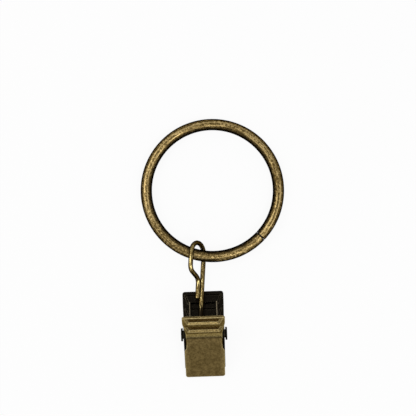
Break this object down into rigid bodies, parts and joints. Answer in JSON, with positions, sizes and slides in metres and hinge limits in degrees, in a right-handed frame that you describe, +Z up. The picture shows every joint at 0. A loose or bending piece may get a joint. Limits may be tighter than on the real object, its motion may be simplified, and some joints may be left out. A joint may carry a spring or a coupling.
{
  "type": "curtain ring with clip",
  "caption": "Split metal curtain ring with a formed wire hook and a sprung two-jaw clip that grips the top edge of a curtain.",
  "frame": {"origin": "centre of the ring, in the middle of its wire", "axes": "+Z up from the surface it lies on, X along the clip's pin, -Y from the ring towards the clip's tips"},
  "size_m": [0.038, 0.0683, 0.0153],
  "materials": {
    "ring_metal": "antique brass plating, worn brighter on the outer curve",
    "hook_metal": "antique brass plating",
    "clip_metal": "mottled antique brass plating",
    "pin_metal": "darkened",
    "spring_metal": "dull"
  },
  "bodies": {
    "ring": {"ring": "ring_metal"},
    "hook": {"hook": "hook_metal"},
    "back_jaw": {"back_jaw": "clip_metal", "hinge_pin": "pin_metal", "torsion_spring": "spring_metal"},
    "front_jaw": {"front_jaw": "clip_metal"}
  },
  "joints": [
    {"name": "hook_swing", "type": "hinge", "parent": "ring", "child": "hook", "pos_m": [-0.00292, -0.01724, 0.00072], "axis": [0.986, -0.1668, 0], "range_deg": [-150, 150]},
    {"name": "clip_swing", "type": "hinge", "parent": "hook", "child": "back_jaw", "pos_m": [-0.0035, -0.03759, 0.00262], "axis": [-1, 0, 0], "range_deg": [-4, 30]},
    {"name": "jaw_open", "type": "hinge", "parent": "back_jaw", "child": "front_jaw", "pos_m": [-0.0035, -0.03759, 0.00262], "axis": [-1, 0, 0], "range_deg": [0, 30], "stiffness_Nm_per_rad": 0.057, "springref_deg": -80.21, "deforming": ["torsion_spring"]}
  ]
}
